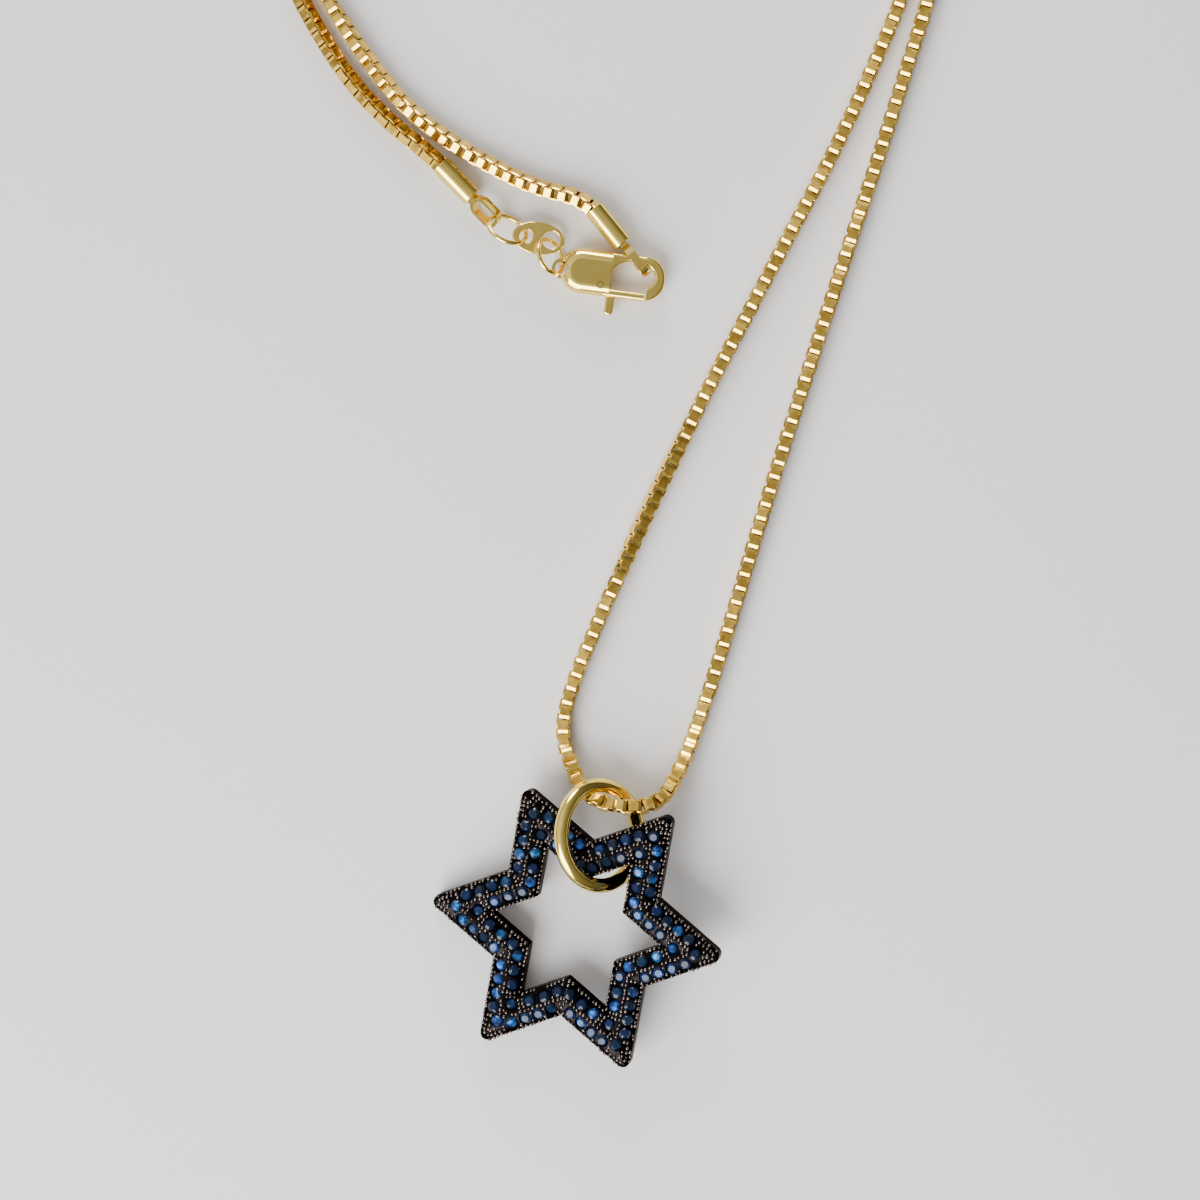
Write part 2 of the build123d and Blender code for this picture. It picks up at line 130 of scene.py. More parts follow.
def copies(points, places, axes):
    """A copy of points (P,3) for each place (N,3): each coordinate times its own axis of axes
    (N,3,3), whose rows are the copy's x, y and z, added up and moved to the place."""
    return np.einsum("pk,nkc->npc", points, axes) + places[:, None, :]


print("quads of a 3 by 4 grid", len(grid_faces(3, 4)))

# %% [markdown]
# ## Nodes that the materials share
#
# No real surface is one flat colour. Image textures would be one way to show that, and noise worked
# out from each point's place is another, which needs no picture and stays sharp close up. Each
# helper here adds one node, joins its input and gives back its output.

# %% Shader nodes
def new_material(name):
    """A material with nodes: itself, its nodes, its links and its shader."""
    material = bpy.data.materials.new(name)
    material.use_nodes = True
    tree = material.node_tree
    return material, tree.nodes, tree.links, tree.nodes["Principled BSDF"]


def noise_value(nodes, links, scale, detail=2.0):
    """Noise on Object coordinates: a value round 0.5 that wanders about scale times in a metre, with
    detail layers of noise, each twice as fine as the one before."""
    place = nodes.new("ShaderNodeTexCoord")
    noise = nodes.new("ShaderNodeTexNoise")
    noise.inputs["Scale"].default_value = scale
    noise.inputs["Detail"].default_value = detail
    links.new(place.outputs["Object"], noise.inputs["Vector"])
    return noise.outputs["Fac"]


def spread_value(nodes, links, value, low, high, start=0.0, end=1.0):
    """A value carried evenly from the range start to end onto the range low to high, and held there."""
    spread = nodes.new("ShaderNodeMapRange")
    spread.inputs["From Min"].default_value = start
    spread.inputs["From Max"].default_value = end
    spread.inputs["To Min"].default_value = low
    spread.inputs["To Max"].default_value = high
    links.new(value, spread.inputs["Value"])
    return spread.outputs["Result"]


def ramp_colour(nodes, links, value, steps):
    """The colour at a value, blended evenly between steps of (position, colour). The steps for the
    ramp's two ends come first in the list, because a new ramp already has those two."""
    ramp = nodes.new("ShaderNodeValToRGB")
    elements = ramp.color_ramp.elements
    for number, (position, colour) in enumerate(steps):
        step = elements[number] if number < 2 else elements.new(position)
        step.position = position
        step.color = (*colour, 1)
    links.new(value, ramp.inputs["Fac"])
    return ramp.outputs["Color"]

# %% [markdown]
# ## Metals
#
# Polished gold is nearly all reflection: the base colour tints what it mirrors, so its look comes
# from the soft light round it. A fine noise in roughness and bump keeps it from looking like a
# computer's mirror. The chain's gold is a little rougher, since its links are pressed and tumbled.
# The star is blackened, so it mirrors little, and the grains on it are rubbed brighter.

# %% The four metals
wear_detail = 4.0
dark_below = 0.35         # of the noise, where the colour is the dark one
bright_above = 0.65
least_rough = 0.7         # times the metal's roughness
most_rough = 1.3
relief_finer = 6          # times the noise's scale
relief_depth = 0.02


def metal(name, colour, dark, roughness, scale, bump, edge=(1, 1, 1)):
    """A metal whose colour goes from dark to colour as noise rises, and whose roughness is that noise
    carried onto a range round the given one; finer noise makes a relief of strength bump. edge tints
    what the metal mirrors at a glance."""
    material, nodes, links, shader = new_material(name)
    shader.inputs["Metallic"].default_value = 1.0
    shader.inputs["Specular Tint"].default_value = (*edge, 1)
    wear = noise_value(nodes, links, scale, wear_detail)
    tones = ramp_colour(nodes, links, wear, [(dark_below, dark), (bright_above, colour)])
    links.new(tones, shader.inputs["Base Color"])
    rough = spread_value(nodes, links, wear, roughness * least_rough, roughness * most_rough)
    links.new(rough, shader.inputs["Roughness"])
    relief = nodes.new("ShaderNodeBump")
    relief.inputs["Strength"].default_value = bump
    relief.inputs["Distance"].default_value = relief_depth * MM
    links.new(noise_value(nodes, links, scale * relief_finer), relief.inputs["Height"])
    links.new(relief.outputs["Normal"], shader.inputs["Normal"])
    return material


polished_gold = metal("polished_gold", (0.96, 0.72, 0.175), (0.88, 0.66, 0.15),
                      roughness=0.12, scale=900, bump=0.06)
chain_gold = metal("chain_gold", (0.96, 0.65, 0.13), (0.72, 0.43, 0.06),
                   roughness=0.15, scale=1500, bump=0.12)
black_plate = metal("black_plate", (0.011, 0.009, 0.009), (0.005, 0.004, 0.004),
                    roughness=0.24, scale=1800, bump=0.25, edge=(0.2, 0.18, 0.17))
grain_metal = metal("grain_metal", (0.205, 0.167, 0.146), (0.06, 0.048, 0.043),
                    roughness=0.14, scale=2200, bump=0.15, edge=(0.5, 0.45, 0.42))
print("metals", [m.name for m in (polished_gold, chain_gold, black_plate, grain_metal)])

# %% [markdown]
# ## The box chain
#
# A box chain is made of small square loops of flat strip, each turned a quarter from the next. A
# curve with a square bevel would have its outline but no links to catch the light, so each strand
# is a route with real links on it. A route is a list of points. Some are put where the photograph
# shows a bend, and these helpers work out the ones of the circle at the back and at an end cap.

# %% Parts of a route
floor_gap = 0.02
chain_diameter = 1.70     # of the links across their corners
chain_rise = floor_gap + chain_diameter / 2
cap_rise = 1.143          # height of an end cap's axis
cap_depth = 1.2           # how far the chain goes into an end cap
loop_centre = np.array([3.3, 100.9])
loop_radius = 30.3        # of the inner strand round the back
loop_corners = 8
strand_spacing = 2.1      # between the two strands round the back


def headed(degrees):
    """Plan direction of a heading, counted from +X towards +Y: its cosine and its sine."""
    return np.stack([np.cos(np.radians(degrees)), np.sin(np.radians(degrees))], axis=-1)


def back_loop(radius, start, end):
    """Route points that turn evenly from one heading to the other. They lie outside the circle, at
    its radius over the cosine of half a step, so that the smooth line touches it between them."""
    turn = (end - start) / loop_corners
    directions = headed(start - 90 + turn * (np.arange(loop_corners) + 0.5))
    plan = loop_centre + directions * radius / np.cos(np.radians(turn / 2))
    return [(x, y, chain_rise) for x, y in plan]


def flat(*plan):
    """Route points of a strand that lies on the surface: the given plan places at its middle's height."""
    return [(x, y, chain_rise) for x, y in plan]


def into_cap(mouth, heading, lead):
    """The last bend, lead before an end cap's mouth, and the chain's end, cap_depth behind it, both
    in line with the cap."""
    direction = headed(heading)
    bend = np.array(mouth) - direction * lead
    end = np.array(mouth) + direction * cap_depth
    return [(*bend, cap_rise), (*end, cap_rise)]


print("height of the chain's middle", chain_rise)

# %% [markdown]
# ### The two routes
#
# These are the routes that the solid tubes follow. Both strands start where they meet inside the
# bail ring, which carries them up over the star. Each goes up the picture, round the back in a
# loose circle outside it, and into the end cap of the other side.

# %% The two routes
meeting_share = 0.42      # of the way between the two bends inside the bail ring
turn_in = np.array([0.95, 11.88, 2.6])
turn_out = np.array([7.25, 10.90, 4.05])
meeting = turn_in + (turn_out - turn_in) * meeting_share
left_route = [
    tuple(meeting), tuple(turn_in), (-0.8, 15.6, chain_rise),
    *flat((-1.45, 18.9), (-0.55, 22.6), (2.3, 29.5), (7.9, 42.2), (19.0, 63.4), (25.6, 75.5)),
    *back_loop(loop_radius, start=66.0, end=297.8),
    *flat((-19.0, 80.7), (-13.5, 75.4), (-6.9, 71.65), (-3.6, 70.2)),
    *into_cap(mouth=(1.637, 68.214), heading=-51.0, lead=1.2),
]
right_route = [
    tuple(meeting), tuple(turn_out), (9.9, 14.6, 1.3),
    *flat((11.75, 19.6), (14.3, 27.6), (17.6, 38.9), (24.4, 60.1), (29.6, 75.6)),
    *back_loop(loop_radius + strand_spacing, start=71.2, end=296.0),
    *flat((-22.95, 81.9), (-17.9, 76.4)),
    *into_cap(mouth=(-12.98, 72.41), heading=-46.0, lead=1.5),
]
print("route points", len(left_route), len(right_route))

# %% [markdown]
# ### The line that the links stand on
#
# Straight runs between the route's points would look like bent wire. A chain lies in soft curves,
# so the points are the control points of a quadratic NURBS curve, and Blender gives its points
# back. The order is set after the points are added, because before that it would stay at 2.

# %% The strands' lines
line_steps = 24           # from one control point to the next


def smooth_line(route):
    """Points along the quadratic NURBS line whose control points are the route's, in millimetres."""
    curve = bpy.data.curves.new("route", "CURVE")
    curve.dimensions = "3D"
    curve.resolution_u = line_steps
    spline = curve.splines.new("NURBS")
    spline.points.add(len(route) - 1)
    spline.points.foreach_set("co", np.column_stack([route, np.ones(len(route))]).ravel())
    spline.order_u = 3
    spline.use_endpoint_u = True
    holder = bpy.data.objects.new("route", curve)
    mesh = bpy.data.meshes.new_from_object(holder)
    line = np.empty(len(mesh.vertices) * 3)
    mesh.vertices.foreach_get("co", line)
    bpy.data.objects.remove(holder)
    bpy.data.meshes.remove(mesh)
    return line.reshape(-1, 3)


left_line = smooth_line(left_route)
right_line = smooth_line(right_route)
print("points of the lines", len(left_line), len(right_line))

# %% [markdown]
# ### One link
#
# A link is a loop of flat strip, a rectangle seen from its side. Where the strip is bent round a
# corner it has a long shallow shoulder, and those shoulders are what shows as one pale bar on each
# link. Plain rounded corners give only a thin glint there, so the shoulder is in the shape.

# %% One link
link_pitch = 0.695        # from one link's middle to the next
link_gap = 0.10           # between a link and the next but one
link_length = 2 * link_pitch - link_gap
box_size = 1.40           # across the loop
strip_width = 1.00
strip_sheet = 0.19        # thickness of the strip
strip_ease = 0.04         # taken off the strip's outer edges
shoulder_back = np.array([0.0, 0.03, 0.32, 0.42])     # a corner's four points, in from the loop's end
shoulder_drop = np.array([0.25, 0.145, 0.0, 0.0])     # and the same four, in from its long side
inner_share = 0.45        # of the shoulder, on the strip's inner face
half_width = strip_width / 2
eased_width = half_width - strip_ease
strip_outline = np.array([
    (strip_ease, -half_width), (0, -eased_width), (0, eased_width), (strip_ease, half_width),
    (strip_sheet, half_width), (strip_sheet, -half_width),
])


def link_points():
    """A grid of 16 points round the loop by 6 round the strip. Each is half the loop's outer size,
    less the strip outline's inset and the shoulder's share there, with the signs of its quarter of
    the loop. x is along the chain, y across the strip and z across the loop."""
    sign_x = np.repeat([1, -1, -1, 1], len(shoulder_back))[:, None]
    sign_z = np.repeat([1, 1, -1, -1], len(shoulder_back))[:, None]
    back = np.concatenate([shoulder_back, shoulder_back[::-1]] * 2)[:, None]
    drop = np.concatenate([shoulder_drop, shoulder_drop[::-1]] * 2)[:, None]
    inset, side = strip_outline.T
    share = np.where(inset == strip_sheet, inner_share, 1.0)
    x = sign_x * (link_length / 2 - inset - share * back)
    z = sign_z * (box_size / 2 - inset - share * drop)
    return np.stack([x, np.broadcast_to(side, x.shape), z], axis=-1)


link = link_points()
link_faces = grid_faces(*link.shape[:2])
link = link.reshape(-1, 3)
print("link points", len(link), "faces", len(link_faces))

# %% [markdown]
# ### How the strands are rolled
#
# A chain that is laid down rolls about its own length, and its roll decides which of its sides
# shows and where its shoulders catch the light. The roll along each strand is read from the
# photograph, as degrees at a few places, and evenly blended between them.

# %% Rolls along the strands
left_rolls = [(5, 14), (9, -6), (23, -4), (28, 20), (38, 20), (43, -4), (-40, -4), (-28, 33)]
right_rolls = [(11, -14), (16, -4), (-32, -4), (-20, 46)]


def roll_along(at, length, rolls):
    """Degrees of roll at places along a strand, blended evenly between (place, degrees) pairs. A
    place below zero is counted back from the strand's end."""
    places, degrees = np.array(rolls, float).T
    return np.interp(at, np.where(places < 0, length + places, places), degrees)


print("roll at the right strand's end", roll_along(100.0, 100.0, right_rolls))

# %% [markdown]
# ### Where each link goes
#
# Links stand at one even pitch, and every second one is turned a quarter, as they are when each
# passes through the next. A real chain is never quite straight, so each link also leans a little
# by chance.

# %% Places and axes of the links
roll_chance = 4.0         # degrees, either way
aim_reach = 0.3           # before and after a link, for the direction of its x


def link_axes(line, rolls):
    """Place and axes of every link, at an even pitch from end to end. x is from a little before the
    link to a little after it, and z is upright turned about x by the roll, with a quarter turn more
    on every second link."""
    steps = np.linalg.norm(np.diff(line, axis=0), axis=1)
    run = np.concatenate([[0], np.cumsum(steps)])
    length = run[-1]
    count = int(length / link_pitch)
    start = (length - count * link_pitch) / 2 + link_pitch / 2
    at = start + link_pitch * np.arange(count)

    def on_line(s):
        return np.stack([np.interp(s, run, line[:, k]) for k in range(3)], axis=-1)

    along = unit(on_line(at + aim_reach) - on_line(at - aim_reach))
    level = unit(np.cross([0.0, 0.0, 1.0], along))
    top = np.cross(along, level)
    chance = rng.uniform(-roll_chance, roll_chance, count)
    roll = np.radians(roll_along(at, length, rolls) + 90 * (np.arange(count) % 2) + chance)[:, None]
    across = level * np.cos(roll) + top * np.sin(roll)
    return on_line(at), np.stack([along, across, np.cross(along, across)], axis=1), length


left_places, left_axes, left_length = link_axes(left_line, left_rolls)
right_places, right_axes, right_length = link_axes(right_line, right_rolls)
print("links", len(left_places), len(right_places), "mm", round(left_length, 1), round(right_length, 1))

# %% [markdown]
# ### The strands
#
# Each strand is one mesh with all its links, in place of the CAD's plain tube. An array modifier on
# a curve would bend the links too. Copies stay stiff, as pressed links are.

# %% The strands
link_smooth = 20          # degrees, past which an edge stays sharp


def box_links(name, places, axes, node):
    """One strand: a copy of the link at each place, with its axes, in place of a CAD node."""
    faces = repeat_faces(link_faces, len(link), len(places))
    piece = make_piece(name, copies(link, places, axes) * MM, faces, link_smooth)
    piece.data.materials.append(chain_gold)
    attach(piece, "root")
    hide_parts(node)


box_links("box_links_left", left_places, left_axes, "chain_left")
box_links("box_links_right", right_places, right_axes, "chain_right")

# %% [markdown]
# ## The star's face
#
# The star is one open band with a domed face, and it follows the twelve sides of a six-pointed
# star. Its points are alike, so everything on that face is placed on one half of one point and then
# repeated. These values are the CAD's own, so what stands on the face fits its seats.

# %% The domed band
star_edge = 7.30          # from the star's centre to the line of each outer side
band_width = 3.20
wall_height = 1.90
dome_rise = 0.60          # of the crest above the band's walls
crest_edge = star_edge - band_width / 2
dome_radius = ((band_width / 2) ** 2 + dome_rise**2) / (2 * dome_rise)
side_normal = headed(-30.0)
side_along = headed(60.0)
centre_line = headed(30.0)


def dome_height(offset):
    """Height of the domed face above the back, on a circle's arc: the crest's height less what the
    circle falls at an offset from the crest line."""
    return wall_height + dome_rise - dome_radius + np.sqrt(dome_radius**2 - offset**2)


def on_side(edge, run):
    """Place and outward normal on one side's half of a point: edge from the star's centre and run
    along the side, at the dome's height. The normal leans by the offset over the dome's radius."""
    edge, run = np.broadcast_arrays(np.asarray(edge, float), np.asarray(run, float))
    offset = edge - crest_edge
    lean = offset / dome_radius
    plan = edge[..., None] * side_normal + run[..., None] * side_along
    place = np.concatenate([plan, dome_height(offset)[..., None]], axis=-1)
    normal = np.concatenate([lean[..., None] * side_normal, np.sqrt(1 - lean**2)[..., None]], axis=-1)
    return place, normal


print("dome radius", round(dome_radius, 3), "crest height", wall_height + dome_rise)

# %% [markdown]
# ### From half a point to the whole star
#
# A mirror modifier and an array of six would do this for a mesh. Here it is done to arrays of places
# and directions, so that stones and grains are each made once, where they belong.

# %% Mirror and turn
def mirrored(v):
    """The same across the point's centre line: twice the part along the line, less the vector."""
    plan = v[..., :2]
    share = 2 * (plan @ centre_line)
    return np.concatenate([share[..., None] * centre_line - plan, v[..., 2:]], axis=-1)


def six_points(v):
    """The same at all six points of the star: turned about its centre by each multiple of 60 degrees."""
    turn = np.radians(60 * np.arange(6))
    cosine, sine = np.cos(turn)[:, None], np.sin(turn)[:, None]
    x, y, z = v[None, :, 0], v[None, :, 1], np.broadcast_to(v[None, :, 2], (6, len(v)))
    return np.stack([x * cosine - y * sine, x * sine + y * cosine, z], axis=-1).reshape(-1, 3)


print("six points of one place", len(six_points(np.array([[1.0, 0.0, 0.0]]))))

# %% [markdown]
# ### Where the stones sit
#
# Two rows of round stones follow each of the twelve sides, with two more on each point's centre
# line. Their places are worked out as the CAD's seats are. Picking each place off the photograph
# would be closer to it, but a setter drills by the same kind of rule.

# %% Stone places
row_offset = 0.73         # of each row from the crest line
tip_distance = star_edge / np.cos(np.radians(60))
tip_gaps = np.array([3.0, 5.15])    # from a point's tip back to its two middle stones


def stone_row(edge, start, pitch, count):
    """Places and normals of a row of stones, edge from the star's centre, evenly along its side from
    the corner between two points."""
    corner = edge * np.tan(np.radians(30))
    return on_side(edge, corner + start + pitch * np.arange(count))


outer_place, outer_up = stone_row(crest_edge + row_offset, start=1.07, pitch=1.33, count=4)
inner_place, inner_up = stone_row(crest_edge - row_offset, start=0.74, pitch=1.42, count=3)
reach = tip_distance - tip_gaps
point_offset = reach / 2 - crest_edge
point_lean = point_offset / dome_radius / 2
point_place = np.column_stack([reach[:, None] * centre_line, dome_height(point_offset)])
point_up = unit(np.column_stack([point_lean[:, None] * centre_line, np.ones(len(reach))]))
side_place = np.concatenate([outer_place, inner_place])
side_up = np.concatenate([outer_up, inner_up])
local_stones = six_points(np.concatenate([side_place, mirrored(side_place), point_place]))
local_up = six_points(np.concatenate([side_up, mirrored(side_up), point_up]))
print("stones", len(local_stones))

# %% [markdown]
# ### The star as it lies
#
# The bail ring under the star lifts its right side, so the whole star is tilted and turned. All its
# pieces are placed on a level star first, and one set of axes then carries them to where it lies.

# %% The tilted star
star_tilt = np.radians(9.0)
star_turn = 19.7          # degrees, heading of the side that is lifted
star_centre = np.array([0.20, -0.03, 1.914])
lifted = headed(star_turn)
star_axes = np.array([
    [*(lifted * np.cos(star_tilt)), np.sin(star_tilt)],
    [-lifted[1], lifted[0], 0.0],
    [*(-lifted * np.sin(star_tilt)), np.cos(star_tilt)],
])


def as_it_lies(directions):
    """Directions on the level star, turned with it: each coordinate times its own axis, added up."""
    return directions @ star_axes


def upright_axes(up):
    """Axes with z along each given direction, and x and y turned about it by chance."""
    across = unit(np.cross([0.3, 1.0, 0.0], up))
    other = np.cross(up, across)
    turn = rng.uniform(0, 2 * np.pi, len(up))[:, None]
    first = across * np.cos(turn) + other * np.sin(turn)
    return np.stack([first, np.cross(up, first), up], axis=1)


stone_place = as_it_lies(local_stones) + star_centre
stone_up = as_it_lies(local_up)
print("stones' heights", round(stone_place[:, 2].min(), 2), "to", round(stone_place[:, 2].max(), 2))

# %% [markdown]
# ## Brilliant-cut stones
#
# Each stone is a round brilliant: a flat table, eight star and eight kite facets round it, sixteen
# upper halves, a thin girdle and a pointed pavilion below. A smooth button would never glint in
# patches as cut stones do, so the facets are real flat faces. The pavilion is plainer than the real
# one, because the seat hides it.

# %% One brilliant
stone_radius = 1.15 / 2
crown = 0.20              # height from the girdle to the table
girdle = 0.04             # height of the upright rim
pavilion = 0.44           # depth below the girdle
table_share = 0.60        # of the stone's radius
kite_share = 0.78         # of the radius, where kites and star facets meet
kite_drop = 0.52          # of the crown's height, there


def brilliant():
    """Points and faces of one cut stone with its table at z = 0: rings of 8, 8, 16 and 16 points, each
    at its radius times the cosine and sine of even angles, and a lowest point. The second ring is
    turned half a facet. The faces are the table, then eight times a star facet, a kite and two upper
    halves, then sixteen times a girdle facet and one below it."""
    eight = np.radians(45 * np.arange(8))
    half = eight + np.radians(22.5)
    sixteen = np.radians(22.5 * np.arange(16))

    def ring(angles, radius, height):
        return np.stack([radius * np.cos(angles), radius * np.sin(angles),
                         np.full(len(angles), height)], axis=-1)

    points = np.concatenate([
        ring(eight, stone_radius * table_share, 0),
        ring(half, stone_radius * kite_share, -crown * kite_drop),
        ring(sixteen, stone_radius, -crown),
        ring(sixteen, stone_radius, -crown - girdle),
        [[0, 0, -crown - girdle - pavilion]],
    ])
    table, kite, upper, lower, lowest = 0, 8, 16, 32, 48
    faces = [tuple(range(8))]
    for k in range(8):
        faces += [
            (table + k, kite + k, table + (k + 1) % 8),
            (table + k, kite + (k - 1) % 8, upper + 2 * k, kite + k),
            (kite + k, upper + 2 * k, upper + 2 * k + 1),
            (kite + k, upper + 2 * k + 1, upper + (2 * k + 2) % 16),
        ]
    for k in range(16):
        n = (k + 1) % 16
        faces += [(upper + k, lower + k, lower + n, upper + n), (lower + k, lowest, lower + n)]
    return points, faces


stone, stone_faces = brilliant()
print("stone points", len(stone), "faces", len(stone_faces))

# %% [markdown]
# ### The stones in their seats
#
# Stones that small never sit quite level, and that is why one flashes while the next is dark. Each
# stone stands a little proud of the face and leans by its own small chance.

# %% The cut stones
stone_proud = 0.12        # of the table above the domed face
seat_lean = 0.12          # spread of the chance added to each stone's direction
stone_tops = stone_place + stone_up * stone_proud
leaning = unit(stone_up + rng.normal(0, seat_lean, stone_up.shape))
stone_points = copies(stone, stone_tops, upright_axes(leaning)) * MM
stones = make_piece("cut_stones", stone_points, repeat_faces(stone_faces, len(stone), len(stone_tops)))
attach(stones, "root")
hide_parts("pave_stones")

# %% [markdown]
# ### A flash for every facet
#
# A small sapphire sends light back from its pavilion in patches: some facets flash bright blue
# while the next one is navy. Real refraction in stones this small only goes dark in a closed seat,
# so that light is painted: each face keeps its own share of painted flash as an attribute, and each
# stone its own hue. Few stones are bright: squaring an even chance gives many low shares and a few high
# ones.

# %% A flash for every facet
# The shares below are painted reflection: how bright each facet is painted, in place of light sent back
# from the pavilion.
least_flash = 0.13        # of the darkest stone's table
flash_range = 0.70
dullest_facet = 0.3       # of the table's flash
upper_half_share = 0.45   # of the flash, on the sixteen facets next to the girdle
crown_end = 33            # number of faces of the crown, table and all
stone_count, per_stone = len(stone_tops), len(stone_faces)
flash_chance = rng.uniform(0, 1, stone_count)
table_flash = least_flash + flash_range * flash_chance**2.0
flash = np.repeat(table_flash[:, None], per_stone, axis=1)
flash[:, 1:] *= rng.uniform(dullest_facet, 1.0, (stone_count, per_stone - 1))
flash[:, 3:crown_end:4] *= upper_half_share
flash[:, 4:crown_end:4] *= upper_half_share
hue = np.repeat(rng.uniform(0, 1, stone_count), per_stone)
stones.data.attributes.new("painted_facet_flash", "FLOAT", "FACE").data.foreach_set("value", flash.ravel())
stones.data.attributes.new("stone_hue", "FLOAT", "FACE").data.foreach_set("value", hue)
print("table flash", round(float(table_flash.mean()), 2))

# %% [markdown]
# ### Blue stone
#
# The painted flash picks a blue from two ramps, a pure one and a greener one, and the stone's hue mixes
# them. Low flash is painted navy and high flash bright blue, so the pavilion's light is painted into the
# base colour. A noise about half a stone wide breaks the painted flash into patches, under a clear gloss.

# %% The stones' material
def attribute_value(nodes, name):
    """A mesh attribute's own value at each face."""
    node = nodes.new("ShaderNodeAttribute")
    node.attribute_name = name
    return node.outputs["Fac"]


blue_stone, nodes, links, shader = new_material("blue_stone")
shader.inputs["IOR"].default_value = 1.77
shader.inputs["Specular IOR Level"].default_value = 0.15
# A noise that breaks the painted flash into patches and also sets the gloss's roughness.
flash_and_gloss_noise = noise_value(nodes, links, scale=1700, detail=3.0)
patched = nodes.new("ShaderNodeMath")
patched.operation = "MULTIPLY"
links.new(attribute_value(nodes, "painted_facet_flash"), patched.inputs[0])
patches = spread_value(nodes, links, flash_and_gloss_noise, low=0.40, high=1.35, start=0.30, end=0.70)
links.new(patches, patched.inputs[1])
# Both ramps run from navy to bright blue along the painted flash: painted reflection over the stone's own
# blue.
pure_blue = ramp_colour(nodes, links, patched.outputs["Value"], [
    (0.0, (0.001, 0.003, 0.014)), (1.0, (0.16, 0.36, 0.85)), (0.35, (0.004, 0.014, 0.060)),
    (0.62, (0.012, 0.060, 0.26)), (0.82, (0.04, 0.16, 0.55)),
])
teal_blue = ramp_colour(nodes, links, patched.outputs["Value"], [
    (0.0, (0.001, 0.004, 0.010)), (1.0, (0.14, 0.38, 0.62)), (0.35, (0.003, 0.016, 0.040)),
    (0.62, (0.008, 0.065, 0.17)), (0.82, (0.03, 0.16, 0.38)),
])
hue_mix = nodes.new("ShaderNodeMix")
hue_mix.data_type = "RGBA"
links.new(attribute_value(nodes, "stone_hue"), hue_mix.inputs["Factor"])
links.new(pure_blue, hue_mix.inputs["A"])
links.new(teal_blue, hue_mix.inputs["B"])
links.new(hue_mix.outputs["Result"], shader.inputs["Base Color"])
links.new(spread_value(nodes, links, flash_and_gloss_noise, low=0.03, high=0.12), shader.inputs["Roughness"])
stones.data.materials.append(blue_stone)
print("blue stone nodes", len(nodes))

# %% [markdown]
# ## Grains
#
# The setter raises small grains of metal that hold each stone, and fills the edges and the points
# with more of them. Bump alone would leave the star's outline smooth, so each grain is a low dome,
# a small mesh that is copied.

# %% One grain
grain_rings = 3
grain_sides = 8
grain_root = 0.4          # of the radius, how far it goes into the metal


def grain_shape():
    """A dome of unit radius and its faces. A ring at latitude a of a quarter circle is at radius
    cosine a and height sine a. The lowest ring goes down into the metal, and one point is the top."""
    latitude = np.radians(np.linspace(0, 90, grain_rings + 1)[:-1])[:, None]
    around = np.radians(np.arange(grain_sides) * 360 / grain_sides)
    radius, height = np.cos(latitude), np.sin(latitude)
    height[0] = -grain_root
    rings = np.stack([radius * np.cos(around), radius * np.sin(around),
                      np.repeat(height, grain_sides, axis=1)], axis=-1)
    points = np.concatenate([rings.reshape(-1, 3), [[0, 0, 1.0]]])
    k = np.arange(grain_sides)
    n = (k + 1) % grain_sides
    low = grain_sides * np.arange(grain_rings - 1)[:, None]
    walls = np.stack([low + k, low + n, low + grain_sides + n, low + grain_sides + k], axis=-1)
    last = grain_sides * (grain_rings - 1)
    roof = np.stack([last + k, last + n, np.full(grain_sides, grain_rings * grain_sides)], axis=-1)
    return points, [*walls.reshape(-1, 4), *roof, k[::-1]]


grain, grain_faces = grain_shape()
print("grain points", len(grain), "faces", len(grain_faces))

# %% [markdown]
# ### Where the grains stand
#
# A row of grains runs along each edge of the band, and closer rows fill the face between them. Each
# is moved a little by chance, because a setter works by eye.

# %% Rows of grains
grain_pitch = 0.42        # along a row
row_pitch = 0.37          # from row to row
edge_inset = 0.13         # of the edge rows, from the band's edges
inner_gap = 0.38          # from the inner edge row to the first row of the field
outer_gap = 0.30          # kept between the last row of the field and the outer edge row
corner_gaps = (0.3, 0.1)  # by turns, from the corner between two points to a row's first grain
centre_gap = 0.12         # kept between a row's last grain and the point's centre line
tip_limit = 13.5          # along the centre line, past which the tip is bare
grain_shift = 0.07
inner_edge = star_edge - band_width
edge_rows = [inner_edge + edge_inset, star_edge - edge_inset]
field_rows = np.arange(inner_edge + edge_inset + inner_gap, star_edge - edge_inset - outer_gap, row_pitch)
row_place, row_up = [], []
for number, edge in enumerate([*edge_rows, *field_rows]):
    low = edge * np.tan(np.radians(30)) + corner_gaps[number % 2]
    high = edge * np.tan(np.radians(60)) - centre_gap
    place, up = on_side(edge, np.arange(low, high, grain_pitch))
    short_of_tip = place[:, :2] @ centre_line < tip_limit
    row_place.append(place[short_of_tip])
    row_up.append(up[short_of_tip])
half_place, half_up = np.concatenate(row_place), np.concatenate(row_up)
half_place[:, :2] += rng.uniform(-grain_shift, grain_shift, (len(half_place), 2))
print("grains on half a point", len(half_place))

# %% [markdown]
# ### Grains between the stones
#
# The grains that would lie on a stone are left out, by their distance to the nearest stone's middle.
# A few more are left out by chance, for the gaps that the real face has.

# %% Grains between the stones
stone_clearance = 0.68    # between the middles of a grain and a stone
raised_share = 0.94       # of the places, where the setter raised a grain
point_grains = np.concatenate([half_place, mirrored(half_place)])
point_grains_up = np.concatenate([half_up, mirrored(half_up)])
to_stones = np.linalg.norm(point_grains[:, None, :2] - local_stones[None, :, :2], axis=2).min(axis=1)
clear = to_stones > stone_clearance
local_grains = six_points(point_grains[clear])
local_grains_up = six_points(point_grains_up[clear])
raised = rng.uniform(0, 1, len(local_grains)) < raised_share
local_grains, local_grains_up = local_grains[raised], local_grains_up[raised]
print("grains", len(local_grains))
